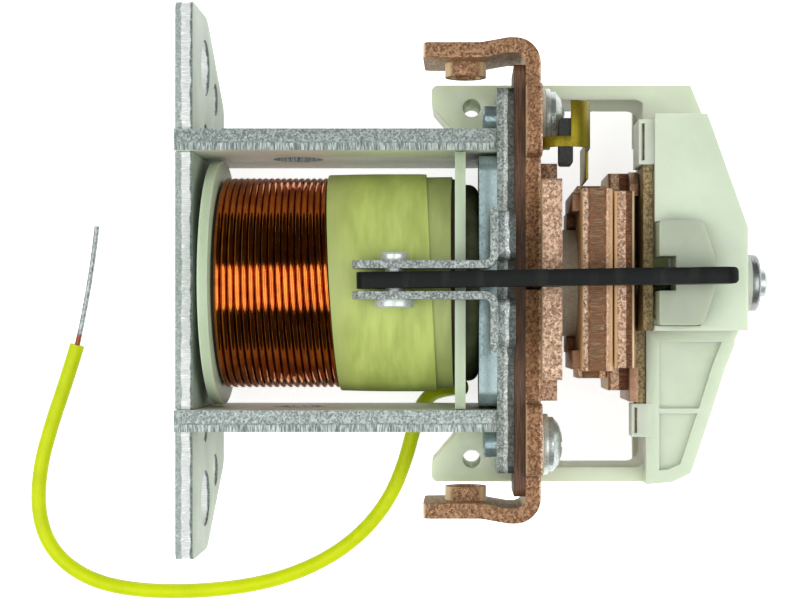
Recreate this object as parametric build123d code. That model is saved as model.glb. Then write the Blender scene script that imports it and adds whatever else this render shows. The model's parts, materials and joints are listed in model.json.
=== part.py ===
from build123d import *
import math
import os

# Open-frame starter solenoid, lying on its side. Millimetres.
# Origin: centre of the mounting face, on the coil axis.
# +X runs along the coil axis from the mounting face to the contacts,
# +Y towards the upper terminal and +Z towards the side with the trip lever.

# Fits
press_gap = 0.05        # round gap of a riveted or pressed fit
running_gap = 0.06      # round gap of a sliding or turning fit
slot_gap = 0.1          # gap round a tab in its slot
lift_gap = 0.3          # gap between parts that move past each other

# Mounting plate
plate_t = 3.0
plate_front = 14.8      # edge on the lever side
plate_back = 23.6       # edge that the solenoid lies on
plate_back_half = 34.3  # half length of the back edge
lug_reach = 48.0
fixing_inset = 9.3      # hole centres, in from the lug's end
locating_inset = 13.4
relief_inset = 21.6
lug_slope_z = -2.4      # height where the lug's slanted edge starts
lug_corner_r = 8.0
plate_corner_r = 1.5
back_corner_r = 3.0
fixing_hole_r = 5.0
locating_hole_r = 3.0
locating_hole_z = -12.2
relief_hole_r = 2.2

# Yoke bars
bar_inner = 22.2        # distance of the inner face from the axis
bar_t = 3.7
bar_half_width = 16.3
bar_hole_r = 4.5
bar_hole_x = 19.7
bar_notch_z = -8.0      # bottom of the open notch in the mounting plate
bar_tenon_half = 4.0    # half width of the tenon, clear of the screw holes
bar_end_r = 1.0

# Bobbin and windings
spacer_t = 1.8
spacer_r = 12.0
near_flange_t = 1.7
near_flange_r = 21.8
winding_space = 41.5
far_flange_t = 1.8
far_flange_half_y = 22.1
far_flange_half_z = 19.75
far_flange_r = 5.0
tube_t = 1.6
winding_r = 18.8
bare_length = 20.4      # stretch of bare turns left of the tape
turn_count = 16
turn_depth = 0.45
tape_t = 0.7
tape_length = 16.7
tape_end_length = 3.9
tape_end_step = 0.4
taped_winding_r = 18.8
ring_t = 2.3
ring_r = 17.6
ring_bore_r = 10.5
ring_edge_r = 1.8

# Core, plunger and rod
core_r = 8.5
core_tenon_r = 6.0
core_length = 15.0
spring_pocket_r = 4.3
core_pocket = 6.0
plunger_pocket = 6.6
rod_r = 2.9
rod_tip_r = 2.5
rod_root = 16.0         # length of rod held in the plunger
travel = 1.8            # leaves the tips 0.1 from the fixed contacts

# Plates at the contact end
pole_t = 3.1
pole_half_y = 21.6
pole_half_z = 15.3
pole_corner_r = 3.0
pole_hole_r = 6.0
front_t = 2.9
front_clear = 0.2       # to the housing's arms
front_top = 15.3
front_bottom = -19.8
front_corner_r = 2.0
rod_hole_r = 3.8
ear_inner = 3.35
ear_outer = 11.3
ear_top = 25.5
ear_r = 1.5
insul_t = 2.0
insul_clear = 0.6       # to the housing's arms
insul_top = 15.0
insul_step_z = -2.0
insul_corner_r = 1.5

# Terminals
arm_room = 4.9          # from the screws' axis to the inner faces of the housing's arms
arm_t = 2.6             # arms of the rear housing, which the plates lie between
strip_t = 2.6
tab_clear = 3.05        # inner face of the tab, out from the housing's side
tab_joggle = 0.85       # step towards the axis before the tip
joggle_start_x = 52.4
joggle_end_x = 57.2
joggle_r = 3.0
tab_tip_x = 42.5
tab_low = -0.4
tab_high = 15.3
tab_corner_r = 1.2
bend_inner_r = 1.8
terminal_clear = 0.4    # to the housing's arms
terminal_wide_top = 22.0
terminal_wide_bottom = -12.0
tongue_y = 21.0
tongue_inner = 1.6
tongue_half_z = 15.0
collar_x = 49.8
collar_z = 7.5
collar_r = 3.6
collar_bore_r = 2.6
collar_height = 2.4

# Terminal screws
screw_bar_gap = 0.15    # between the screws and the yoke bars
screw_z = 7.5
screw_r = 2.45
screw_tip_x = 52.8
screw_head_r = 4.8
screw_head_t = 2.5
recess_width = 0.9      # cross recess in the screw head
recess_length = 4.6
recess_depth = 1.3
washer_r = 5.35
washer_t = 0.9
sleeve_t = 0.6
sleeve_flange_t = 0.6

# Fixed contacts, bridges and their bush
contact_t = 3.3
contact_reach = 16.9
contact_inner = 1.3
contact_set_down = 0.2  # top edge, under the terminal's
contact_bottom = -15.0
contact_ear_reach = 21.0
contact_ear_low = -1.0
contact_ear_high = 5.5
contact_corner_r = 0.6
bush_r = 9.6
bush_flange_t = 3.5
bush_hub_length = 2.4
sleeve_r = 4.9
bridge_t = 5.1
bridge_half_y = 15.4
bridge_top = 20.5
bridge_bottom = -15.0
bridge_tab_y = 17.0
bridge_tab_half_z = 5.5
bridge_bevel = 0.8
tip_t = 1.6             # contact face of the tip
tip_inner = 9.6
tip_outer = 12.5
tip_low = -8.0
tip_high = 1.0
tip_back_t = 1.3        # lower step beside it
tip_back_outer = 15.3
tip_back_high = 13.6
tip_corner_r = 0.5
bridge_gap = 0.3
second_t = 3.4
second_half_y = 14.9
second_reach = 19.1
second_step_z = 7.0
second_bottom = -13.0
second_top = 20.3
second_edge_r = 1.3
third_gap = 0.1
third_t = 1.5
third_upper = 19.2
third_lower = 21.0
third_top = 10.0
third_mid_top = 6.4     # lower in the middle, behind the second bridge
third_bottom = -9.0
third_bevel = 2.2
clip_r = 5.3
clip_t = 1.0

# Seat plate and rear housing
seat_t = 1.7
seat_half_y = 26.8
seat_step_y = -8.6
seat_top = 15.2
seat_low_top = 2.4
seat_bottom = -18.0
seat_body_y = 19.4      # the full depth ends here, and the gripped ends are shallower
seat_upper_end = 6.6
seat_lower_end = -1.6
seat_hole_r = 5.8
wall = 2.0
housing_depth = 15.8    # from the open face to the end wall
# Set-in of the slanted corners, from the end wall and from the side
lower_draw = [(11.2, 0.4), (7.8, 2.0), (3.9, 13.7), (1.8, 20.4), (0, 24.9)]
upper_draw = [(0, 24.5), (4.1, 7.4), (7.1, 0)]
raised_top = 17.5
raised_upper_y = 28.3
raised_draw = 6.9
raised_slant_y = 9.0
low_top = 3.0
arm_top = -3.0
arm_bottom = -19.8
arm_root_r = 2.5
lug_start_x = 43.6
lug_hole_x = 50.9
lug_hole_inset = 4.1    # from the housing's side
lug_hole_r = 1.65
lug_slope = 5.4
lug_tip_width = 3.5
pocket_t = 0.7
pocket_side = 0.6       # wall past the seat plate's end
slit_width = 0.6        # open slit along the pocket's top
root_set_back = 0.8     # inner corner of the arms and the floor's edge, past the open face
root_start_y = 26.6
boss_length = 2.9
boss_r = 5.2
web_t = 1.2
recess_rim = 2.3        # wall left round the recesses in the low part
recess_drop = 1.5
recess_top_y = -10.6
rib_y = -22.9
rib_t = 0.9
guide_disc_r = 6.3
guide_disc_t = 0.5

# Hook guide block
block_length = 9.2
block_lower = -7.7
block_upper = 9.9
block_top = 21.5
block_draw = 1.9        # set-in of the right side at both ends
block_flange = 0.9
block_flange_t = 1.6
block_nose = 3.0        # half width of the flat right end
block_near_r = 0.6
block_far_r = 1.5
window_lower = -1.9
window_upper = 3.95

# Trip lever, brackets and pin
lever_y = -0.2
lever_skew = 0.75       # degrees that it stands askew on its pin, within the fit
lever_tip_r = 0.8
lever_t = 2.7
lever_tail_x = 31.7
lever_reach = 12.1      # rounded end past the hook
lever_shoulder = 8.0    # where the tail starts to widen, past the pivot
lever_pivot_x = 37.9
lever_lift = 1.4        # lower edge over the coil's tape
lever_pivot_rise = 2.1
lever_height = 5.1
lever_far_rise = 2.2    # top edge near the tip, over the top edge at the pivot
lever_rise = 15.2       # places along the top edge, back from the tip
lever_fall = 11.9
lever_dip = 10.2
lever_dip_end = 8.2
lever_flat = 6.3
hook_t = 1.2
hook_tip_z = 4.6
hook_swing = 1.2        # room for the hook as it swings out over the collar
bracket_t = 1.3
bracket_gap = 3.8
bracket_tail_x = 31.0
bracket_reach = 12.0
bracket_lift = 0.4      # over the coil's tape
bracket_height = 6.5
bracket_bend_r = 1.0
pin_r = 1.5
pin_upper_head_r = 2.35
pin_lower_head_r = 3.35
pin_head_t = 1.4
collar_stop_r = 6.0
collar_stop_t = 1.6

# Guide screw at the end of the housing
guide_pin_r = 1.5
guide_thread_r = 2.5
guide_nut_r = 5.1
guide_nut_t = 1.6
guide_tip = 1.6

# Springs
return_spring_r = 3.5
return_wire_r = 0.45
return_turns = 5
contact_spring_r = 4.2
contact_wire_r = 0.4
contact_turns = 4
spring_seat_gap = 0.05

# Leaf spring and its buffer
leaf_t = 0.4
leaf_low_y = 22.2
leaf_high_y = 30.0
leaf_foot_z = 3.0
leaf_foot_rise = 5.0    # top of the foot's wide part, over the screw
leaf_stand_out = 0.2    # top of the arch, over the terminal
leaf_span = 8.2
leaf_neck_y = 24.0      # the arch is cut away past this, round the screw head
leg_end_z = 8.0
finger_y = 17.5
finger_wide = 6.4
finger_end_z = -1.8
finger_high_z = 14.0
buffer_x = 65.5
buffer_width = 2.3
buffer_bottom = 16.6
buffer_low_y = 19.3
buffer_high_y = 27.0
buffer_r = 0.5

# Lead: insulated stretch and bare end
lead_r = 1.4
lead_hole_r = 2.3       # hole in the bobbin's far flange
conductor_r = 0.5
lead_route = [
    (49.6, -19.2, -15.0),
    (44.6, -19.6, -18.4),
    (41.4, -22.4, -21.0),
    (39.8, -27.4, -22.1),
    (38.2, -33.6, -22.2),
    (35.4, -40.6, -22.2),
    (30.2, -47.4, -22.2),
    (22.6, -53.0, -22.2),
    (12.4, -57.0, -22.2),
    (0.0, -58.8, -22.2),
    (-13.0, -58.8, -22.2),
    (-22.8, -56.7, -22.2),
    (-29.8, -51.5, -22.2),
    (-32.7, -44.2, -22.2),
    (-32.4, -35.2, -22.2),
    (-30.0, -26.4, -22.2),
    (-27.2, -18.2, -22.2),
    (-25.1, -11.3, -22.2),
]
conductor_route = [
    (-25.1, -11.3, -22.2),
    (-22.5, 0.2, -22.2),
    (-21.3, 11.6, -22.2),
]

# Places along the axis, each worked out from the piece before it
flange_x = plate_t + spacer_t
winding_x = flange_x + near_flange_t
far_flange_x = winding_x + winding_space
ring_x = far_flange_x + far_flange_t
pole_x = ring_x + ring_t
front_x = pole_x + pole_t
insul_x = front_x + front_t
strip_x = insul_x + insul_t
contact_x = strip_x + strip_t
bush_x = contact_x + contact_t
bridge_x = bush_x + bush_flange_t
second_x = bridge_x + bridge_t + bridge_gap
third_x = second_x + second_t + third_gap
seat_x = third_x + third_t + lift_gap
housing_x = seat_x + seat_t + slot_gap
housing_end_x = housing_x + housing_depth
bore_r = core_r + press_gap
tube_r = bore_r + tube_t
tape_outer_r = taped_winding_r + tape_t
bracket_low = tape_outer_r + bracket_lift
bracket_high = bracket_low + bracket_height
lever_bottom = tape_outer_r + lever_lift
lever_pivot_z = lever_bottom + lever_pivot_rise
lever_top = lever_bottom + lever_height
lever_far_top = lever_top + lever_far_rise
bar_outer = bar_inner + bar_t
screw_y = bar_outer + screw_bar_gap + screw_r
arm_inner_y = screw_y + arm_room
housing_half_y = arm_inner_y + arm_t
front_half_y = arm_inner_y - front_clear
insul_narrow = arm_inner_y - insul_clear
terminal_wide_y = arm_inner_y - terminal_clear
tab_outer = housing_half_y + tab_clear + strip_t
contact_top = terminal_wide_top - contact_set_down
leaf_top = terminal_wide_top + leaf_stand_out
insul_half_y = tab_outer - strip_t - bend_inner_r - slot_gap
plunger_x = plate_t + core_length + travel + lift_gap
plunger_end_x = pole_x - lift_gap
hook_x = seat_x + seat_t + guide_disc_t + lift_gap
lever_tip_x = hook_x + lever_reach
window_x = hook_x + hook_t + hook_swing
stop_x = window_x + travel
rod_end_x = stop_x + collar_stop_t
block_x0 = housing_x + lift_gap
notch_r = bush_r + lift_gap


def block(x, y, z):
    """A block between the low and high value given for each axis."""
    size = [high - low for low, high in (x, y, z)]
    middle = [(high + low) / 2 for low, high in (x, y, z)]
    return Pos(*middle) * Box(*size)


def disc(radius, x0, x1, y=0.0, z=0.0):
    """A cylinder along X."""
    return Pos((x0 + x1) / 2, y, z) * Rot(0, 90, 0) * Cylinder(radius, x1 - x0)


def drill_y(radius, x, z, y0, y1):
    """A cylinder along Y."""
    return Pos(x, (y0 + y1) / 2, z) * Rot(90, 0, 0) * Cylinder(radius, y1 - y0)


def face_of(points):
    return make_face(Polyline(*points, close=True))


def rounded(outline, corners):
    """Rounds the corner of a sketch nearest to each given point."""
    for point, radius in corners:
        spot = Vector(*point)
        corner = min(outline.vertices(), key=lambda v: (Vector(*tuple(v)) - spot).length)
        outline = fillet(corner, radius)
    return outline


def sheet_x(outline, x0, thickness):
    """A flat plate across the axis; the outline is drawn as (y, z)."""
    return extrude(Plane.YZ.offset(x0) * outline, amount=thickness)


def slab_z(outline, z0, z1):
    """A prism along Z; the outline is drawn as (x, y)."""
    return extrude(Plane.XY.offset(z0) * outline, amount=z1 - z0)


def turned(points):
    """A turned piece; the profile is drawn as (x, radius)."""
    return revolve(face_of(points), axis=Axis.X)


def mirrored(solid):
    return mirror(solid, about=Plane.XZ)


def mounting_plate():
    corners = [
        (plate_back_half, -plate_back),
        (lug_reach, lug_slope_z),
        (lug_reach, plate_front),
    ]
    radii = [back_corner_r, lug_corner_r, plate_corner_r]
    left = [(-y, z) for y, z in reversed(corners)]
    outline = face_of(corners + left)
    rounding = [(corner, radius) for corner, radius in zip(corners, radii)]
    rounding += [((-y, z), radius) for (y, z), radius in rounding]
    plate = sheet_x(rounded(outline, rounding), 0, plate_t)
    through = (-1, plate_t + 1)
    for side in (-1, 1):
        plate -= disc(fixing_hole_r, *through, y=side * (lug_reach - fixing_inset))
        locating_y = side * (lug_reach - locating_inset)
        plate -= disc(locating_hole_r, *through, y=locating_y, z=locating_hole_z)
        plate -= disc(relief_hole_r, *through, y=side * (lug_reach - relief_inset))
        notch_y = sorted((side * (bar_inner - slot_gap), side * (bar_outer + slot_gap)))
        plate -= block(through, notch_y, (bar_notch_z - slot_gap, plate_front + 1))
    plate -= disc(core_tenon_r + press_gap, *through)
    return plate


def yoke_bar():
    body = block((plate_t, front_x), (bar_inner, bar_outer), (-bar_half_width, bar_half_width))
    body = fillet(body.edges().filter_by(Axis.Y), bar_end_r)
    heel = block((0, plate_t + bar_end_r), (bar_inner, bar_outer), (bar_notch_z, bar_half_width))
    tenon_z = (-bar_tenon_half, bar_tenon_half)
    tenon = block((front_x - bar_end_r, insul_x), (bar_inner, bar_outer), tenon_z)
    hole = drill_y(bar_hole_r, bar_hole_x, 0, bar_inner - 1, bar_outer + 1)
    return body + heel + tenon - hole


def fixed_core():
    end = plate_t + core_length
    core = disc(core_tenon_r, 0, plate_t) + disc(core_r, plate_t, end)
    return core - disc(spring_pocket_r, end - core_pocket, end + 1)


def core_spacer():
    return disc(spacer_r, plate_t, flange_x) - disc(bore_r, plate_t - 1, flange_x + 1)


def lead_passage(x0, x1):
    """Clearance round the lead where it comes through the bobbin's far flange."""
    exit_x, exit_y, exit_z = lead_route[0]
    next_x, next_y, next_z = lead_route[1]
    rise = (x0 - exit_x) / (next_x - exit_x)
    mid_y = exit_y + (next_y - exit_y) * rise / 2
    mid_z = exit_z + (next_z - exit_z) * rise / 2
    return disc(lead_hole_r, x0, x1, y=mid_y, z=mid_z)


def bobbin():
    near = disc(near_flange_r, flange_x, winding_x)
    far_outline = RectangleRounded(2 * far_flange_half_y, 2 * far_flange_half_z, far_flange_r)
    far = sheet_x(far_outline, far_flange_x, far_flange_t)
    tube = disc(tube_r, flange_x, ring_x)
    whole = near + far + tube - disc(bore_r, flange_x - 1, ring_x + 1)
    return whole - lead_passage(far_flange_x, ring_x + 1)


def copper_winding():
    """The bare turns show as ridges, and the rest lies under the tape."""
    pitch = bare_length / turn_count
    inner = tube_r + press_gap
    profile = [(winding_x, inner)]
    for turn in range(turn_count):
        start = winding_x + turn * pitch
        profile.append((start, winding_r - turn_depth))
        profile.append((start + 0.3 * pitch, winding_r))
        profile.append((start + 0.7 * pitch, winding_r))
    bare_end = winding_x + bare_length
    profile.append((bare_end, winding_r - turn_depth))
    profile.append((bare_end, taped_winding_r - tape_end_step))
    profile.append((far_flange_x, taped_winding_r - tape_end_step))
    profile.append((far_flange_x, inner))
    return turned(profile)


def tape_band(start, length, inner, outer):
    return disc(outer, start, start + length) - disc(inner, start - 1, start + length + 1)


def coil_tape():
    inner = taped_winding_r - tape_end_step + press_gap
    return tape_band(winding_x + bare_length, tape_length, inner, tape_outer_r)


def coil_tape_end():
    inner = taped_winding_r - tape_end_step + press_gap
    start = winding_x + bare_length + tape_length
    return tape_band(start, tape_end_length, inner, tape_outer_r - tape_end_step)


def end_ring():
    ring = disc(ring_r, ring_x, pole_x) - disc(ring_bore_r, ring_x - 1, pole_x + 1)
    rim = ring.edges().filter_by(GeomType.CIRCLE).sort_by(Axis.X)
    rim = [edge for edge in rim if edge.center().X > pole_x - 0.01 and edge.radius > ring_r - 1]
    return fillet(rim, ring_edge_r)


def pole_plate():
    outline = RectangleRounded(2 * pole_half_y, 2 * pole_half_z, pole_corner_r)
    return sheet_x(outline, pole_x, pole_t) - disc(pole_hole_r, pole_x - 1, front_x + 1)


def front_plate():
    corners = [(front_half_y, front_bottom), (front_half_y, front_top)]
    left = [(-y, z) for y, z in reversed(corners)]
    rounding = [(corner, front_corner_r) for corner in corners + left]
    plate = sheet_x(rounded(face_of(corners + left), rounding), front_x, front_t)
    for side in (-1, 1):
        ear = [
            (side * ear_inner, front_top - ear_r),
            (side * ear_inner, ear_top),
            (side * ear_outer, ear_top),
            (side * ear_outer, front_top - ear_r),
        ]
        ear_face = rounded(face_of(ear), [(ear[1], ear_r), (ear[2], ear_r)])
        plate += sheet_x(ear_face, front_x, front_t)
        slot_y = sorted((side * (bar_inner - slot_gap), side * (bar_outer + slot_gap)))
        slot_z = (-bar_tenon_half - slot_gap, bar_tenon_half + slot_gap)
        plate -= block((front_x - 1, insul_x + 1), slot_y, slot_z)
        plate -= disc(screw_r + press_gap, front_x - 1, insul_x + 1, side * screw_y, screw_z)
    return plate - disc(rod_hole_r, front_x - 1, insul_x + 1)


def insulating_plate():
    outline = [
        (insul_narrow, front_bottom),
        (insul_narrow, insul_step_z),
        (insul_half_y, insul_step_z),
        (insul_half_y, insul_top),
    ]
    left = [(-y, z) for y, z in reversed(outline)]
    ends = [outline[0], outline[3], left[0], left[3]]
    shape = rounded(face_of(outline + left), [(point, insul_corner_r) for point in ends])
    plate = sheet_x(shape, insul_x, insul_t)
    for side in (-1, 1):
        hole_r = screw_r + sleeve_t + 2 * press_gap
        plate -= disc(hole_r, insul_x - 1, strip_x + 1, side * screw_y, screw_z)
    return plate - disc(rod_hole_r, insul_x - 1, strip_x + 1)


def terminal():
    """Copper strip bent square, with a threaded collar drawn from its tab."""
    tip_outer_y = tab_outer - tab_joggle
    tab_inner = tip_outer_y - strip_t
    bend = [
        (tab_tip_x, tip_outer_y),
        (joggle_start_x, tip_outer_y),
        (joggle_end_x, tab_outer),
        (contact_x, tab_outer),
        (contact_x, tongue_inner),
        (strip_x, tongue_inner),
        (strip_x, tab_outer - strip_t),
        (joggle_end_x, tab_outer - strip_t),
        (joggle_start_x, tab_inner),
        (tab_tip_x, tab_inner),
    ]
    rounding = [(bend[3], bend_inner_r + strip_t), (bend[6], bend_inner_r)]
    rounding += [(bend[i], joggle_r) for i in (1, 2, 7, 8)]
    side_view = slab_z(rounded(face_of(bend), rounding), terminal_wide_bottom - 3, terminal_wide_top)
    front_view = [
        (tongue_inner, -tongue_half_z),
        (tongue_y, -tongue_half_z),
        (tongue_y, terminal_wide_bottom),
        (terminal_wide_y, terminal_wide_bottom),
        (terminal_wide_y, tab_low),
        (tab_outer, tab_low),
        (tab_outer, tab_high),
        (terminal_wide_y, tab_high),
        (terminal_wide_y, terminal_wide_top),
        (tongue_y, terminal_wide_top),
        (tongue_y, tongue_half_z),
        (tongue_inner, tongue_half_z),
    ]
    softened = [(front_view[i], tab_corner_r) for i in (3, 4, 7, 8, 9)]
    blank = sheet_x(rounded(face_of(front_view), softened), tab_tip_x - 1, contact_x - tab_tip_x + 2)
    strip = side_view & blank
    tab_corners = strip.edges().filter_by(Axis.Y).group_by(Axis.X)[0]
    strip = fillet(tab_corners, tab_corner_r)
    collar_y = (tab_inner - collar_height, tab_inner + strip_t / 2)
    strip += drill_y(collar_r, collar_x, collar_z, *collar_y)
    strip -= drill_y(collar_bore_r, collar_x, collar_z, collar_y[0] - 1, tab_outer + 1)
    hole_r = screw_r + sleeve_t + 2 * press_gap
    strip -= disc(hole_r, strip_x - 1, contact_x + 1, screw_y, screw_z)
    return strip - disc(notch_r, strip_x - 1, contact_x + 1)


def fixed_contact():
    outline = [
        (contact_inner, contact_bottom),
        (contact_reach, contact_bottom),
        (contact_reach, contact_ear_low),
        (contact_ear_reach, contact_ear_low),
        (contact_ear_reach, contact_ear_high),
        (contact_reach, contact_ear_high),
        (contact_reach, contact_top),
        (contact_inner, contact_top),
    ]
    ends = [(outline[i], contact_corner_r) for i in (1, 3, 4, 6)]
    plate = sheet_x(rounded(face_of(outline), ends), contact_x, contact_t)
    return plate - disc(notch_r, contact_x - 1, bush_x + 1)


def screw_stack_x(side):
    """Face that the screw's insulating sleeve sits on: the upper one holds the leaf too."""
    return contact_x + (leaf_t if side > 0 else 0)


def screw_sleeve(side):
    seat = screw_stack_x(side)
    y = side * screw_y
    inner = screw_r + press_gap
    flange = disc(washer_r, seat, seat + sleeve_flange_t, y, screw_z)
    tube = disc(inner + sleeve_t, insul_x, seat, y, screw_z)
    return flange + tube - disc(inner, insul_x - 1, seat + sleeve_flange_t + 1, y, screw_z)


def screw_washer(side):
    seat = screw_stack_x(side) + sleeve_flange_t
    y = side * screw_y
    ring = disc(washer_r, seat, seat + washer_t, y, screw_z)
    return ring - disc(screw_r + press_gap, seat - 1, seat + washer_t + 1, y, screw_z)


def terminal_screw(side):
    seat = screw_stack_x(side) + sleeve_flange_t + washer_t
    profile = [
        (screw_tip_x, 0),
        (screw_tip_x, screw_r - 0.4),
        (screw_tip_x + 0.4, screw_r),
        (seat, screw_r),
        (seat, screw_head_r),
        (seat + 0.35 * screw_head_t, screw_head_r),
        (seat + 0.75 * screw_head_t, 0.75 * screw_head_r),
        (seat + screw_head_t, 0.35 * screw_head_r),
        (seat + screw_head_t, 0),
    ]
    screw = Pos(0, side * screw_y, screw_z) * turned(profile)
    recess_x = (seat + screw_head_t - recess_depth, seat + screw_head_t + 1)
    for across, along in ((recess_width, recess_length), (recess_length, recess_width)):
        slot_y = (side * screw_y - across / 2, side * screw_y + across / 2)
        screw -= block(recess_x, slot_y, (screw_z - along / 2, screw_z + along / 2))
    return screw


def plunger():
    profile = [
        (plunger_x, 0),
        (plunger_x, core_r - running_gap - 0.3),
        (plunger_x + 0.3, core_r - running_gap),
        (plunger_end_x, core_r - running_gap),
        (plunger_end_x, 0),
    ]
    body = turned(profile)
    body -= disc(spring_pocket_r, plunger_x - 1, plunger_x + plunger_pocket)
    return body - disc(rod_r + press_gap, plunger_end_x - rod_root, plunger_end_x + 1)


def plunger_rod():
    stem = disc(rod_r, plunger_end_x - rod_root, bush_x - bush_hub_length)
    tip = disc(rod_tip_r, bush_x - bush_hub_length, rod_end_x)
    pilot = disc(guide_pin_r + running_gap, housing_x, rod_end_x + 1)
    return stem + tip - pilot


def insulating_bush():
    hub = disc(sleeve_r, bush_x - bush_hub_length, third_x + third_t)
    flange = disc(bush_r, bush_x, bridge_x)
    bore = disc(rod_tip_r + press_gap, bush_x - bush_hub_length - 1, third_x + third_t + 1)
    return hub + flange - bore


def sleeve_bore(x0, x1):
    return disc(sleeve_r + press_gap, x0 - 1, x1 + 1)


def moving_bridge():
    outline = [
        (bridge_half_y, bridge_bottom),
        (bridge_half_y, -bridge_tab_half_z),
        (bridge_tab_y, -bridge_tab_half_z),
        (bridge_tab_y, bridge_tab_half_z),
        (bridge_half_y, bridge_tab_half_z),
        (bridge_half_y, bridge_top),
    ]
    left = [(-y, z) for y, z in reversed(outline)]
    bar = sheet_x(face_of(outline + left), bridge_x, bridge_t)
    rim = bar.edges().filter_by(Axis.Y).filter_by_position(Axis.Z, bridge_top - 0.1, bridge_top + 0.1)
    bar = chamfer(rim.sort_by(Axis.X)[-1], bridge_bevel)
    return bar - sleeve_bore(bridge_x, bridge_x + bridge_t)


def contact_tip():
    """Contact face nearest the bush, with a lower and taller step beside it."""
    face = block((bridge_x - tip_t, bridge_x), (tip_inner, tip_outer), (tip_low, tip_high))
    face = fillet(face.edges().filter_by(Axis.X).group_by(Axis.Y)[0], tip_corner_r)
    step_y = (tip_outer - 0.5, tip_back_outer)
    step = block((bridge_x - tip_back_t, bridge_x), step_y, (tip_low, tip_back_high))
    step = fillet(step.edges().filter_by(Axis.X).group_by(Axis.Y)[-1], tip_corner_r)
    return face + step


def second_bridge():
    outline = [
        (second_half_y, second_bottom),
        (second_reach, second_bottom + 4),
        (second_reach, second_step_z),
        (second_half_y, second_step_z),
        (second_half_y, second_top),
    ]
    left = [(-y, z) for y, z in reversed(outline)]
    corners = [(point, contact_corner_r) for point in (outline[2], left[2])]
    bar = sheet_x(rounded(face_of(outline + left), corners), second_x, second_t)
    rim = bar.edges().filter_by(Axis.Y).filter_by_position(Axis.Z, second_top - 0.1, second_top + 0.1)
    bar = fillet(rim, second_edge_r)
    return bar - sleeve_bore(second_x, second_x + second_t)


def third_bridge():
    outline = [
        (-third_lower, third_bottom),
        (third_upper, third_bottom),
        (third_upper, third_top),
        (second_half_y, third_top),
        (second_half_y, third_mid_top),
        (-second_half_y, third_mid_top),
        (-second_half_y, third_top),
        (-third_lower, third_top),
    ]
    bar = sheet_x(face_of(outline), third_x, third_t)
    upper_end = bar.edges().filter_by(Axis.X).group_by(Axis.Y)[-1]
    bar = chamfer(upper_end, third_bevel)
    return bar - sleeve_bore(third_x, third_x + third_t)


def retaining_clip():
    start = third_x + third_t
    return disc(clip_r, start, start + clip_t) - disc(rod_tip_r + press_gap, start - 1, start + clip_t + 1)


def seat_outline(grow=0.0):
    """Stepped outline of the seat plate; grow widens it for the pockets that hold it."""
    side = seat_half_y + grow
    body = seat_body_y + grow
    return face_of([
        (-side, seat_lower_end - grow),
        (-body, seat_lower_end - grow),
        (-body, seat_bottom - grow),
        (body, seat_bottom - grow),
        (body, seat_upper_end - grow),
        (side, seat_upper_end - grow),
        (side, seat_top + grow),
        (seat_step_y - grow, seat_top + grow),
        (seat_step_y - grow, seat_low_top + grow),
        (-side, seat_low_top + grow),
    ])


def spring_seat_plate():
    plate = sheet_x(seat_outline(), seat_x, seat_t)
    return plate - disc(seat_hole_r, seat_x - 1, housing_x + 1)


def guide_disc():
    """Black fibre disc that the rod slides in, against the seat plate."""
    start = seat_x + seat_t
    return disc(guide_disc_r, start, start + guide_disc_t) - disc(
        rod_tip_r + running_gap, start - 1, start + guide_disc_t + 1
    )


def housing_outline(left_x):
    """Outer outline of the housing's deep part, seen from the lever side."""
    lower = [(housing_end_x - x, -housing_half_y + y) for x, y in lower_draw]
    upper = [(housing_end_x - x, housing_half_y - y) for x, y in upper_draw]
    return face_of([(left_x, -housing_half_y)] + lower + upper + [(left_x, housing_half_y)])


def raised_outline(left_x):
    """Outline of the part that rises past the bridges towards the lever."""
    end = housing_end_x
    return face_of([
        (left_x, seat_step_y),
        (end, seat_step_y),
        (end, raised_slant_y),
        (end - raised_draw, raised_upper_y),
        (left_x, raised_upper_y),
    ])


def below(limit):
    """A wide block that keeps only what lies under a given Y."""
    return block((0, 2 * housing_end_x), (-2 * housing_half_y, limit), (-plate_back, raised_top))


def housing_shell():
    outer = slab_z(housing_outline(housing_x), -plate_back, arm_top)
    outer += slab_z(housing_outline(housing_x), arm_top, low_top) & below(seat_step_y + wall)
    outer += slab_z(raised_outline(housing_x), arm_top, raised_top)
    open_x = housing_x - 2 * wall
    deep = offset(housing_outline(open_x), -wall, kind=Kind.INTERSECTION)
    high = offset(raised_outline(open_x), -wall, kind=Kind.INTERSECTION)
    inner = slab_z(deep, -plate_back + wall, arm_top - wall)
    inner += slab_z(deep, arm_top - 2 * wall, low_top - recess_drop - wall) & below(seat_step_y + 2 * wall)
    inner += slab_z(high, arm_top - 2 * wall, raised_top - wall)
    return outer - inner


def low_recess():
    """Two shallow recesses in the low part, with a rib between them."""
    outline = offset(housing_outline(housing_x), -recess_rim, kind=Kind.INTERSECTION)
    sunk = slab_z(outline, low_top - recess_drop, low_top + 1) & below(recess_top_y)
    rib = block((0, 2 * housing_end_x), (rib_y - rib_t / 2, rib_y + rib_t / 2), (0, low_top + 2))
    return sunk - rib


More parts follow.
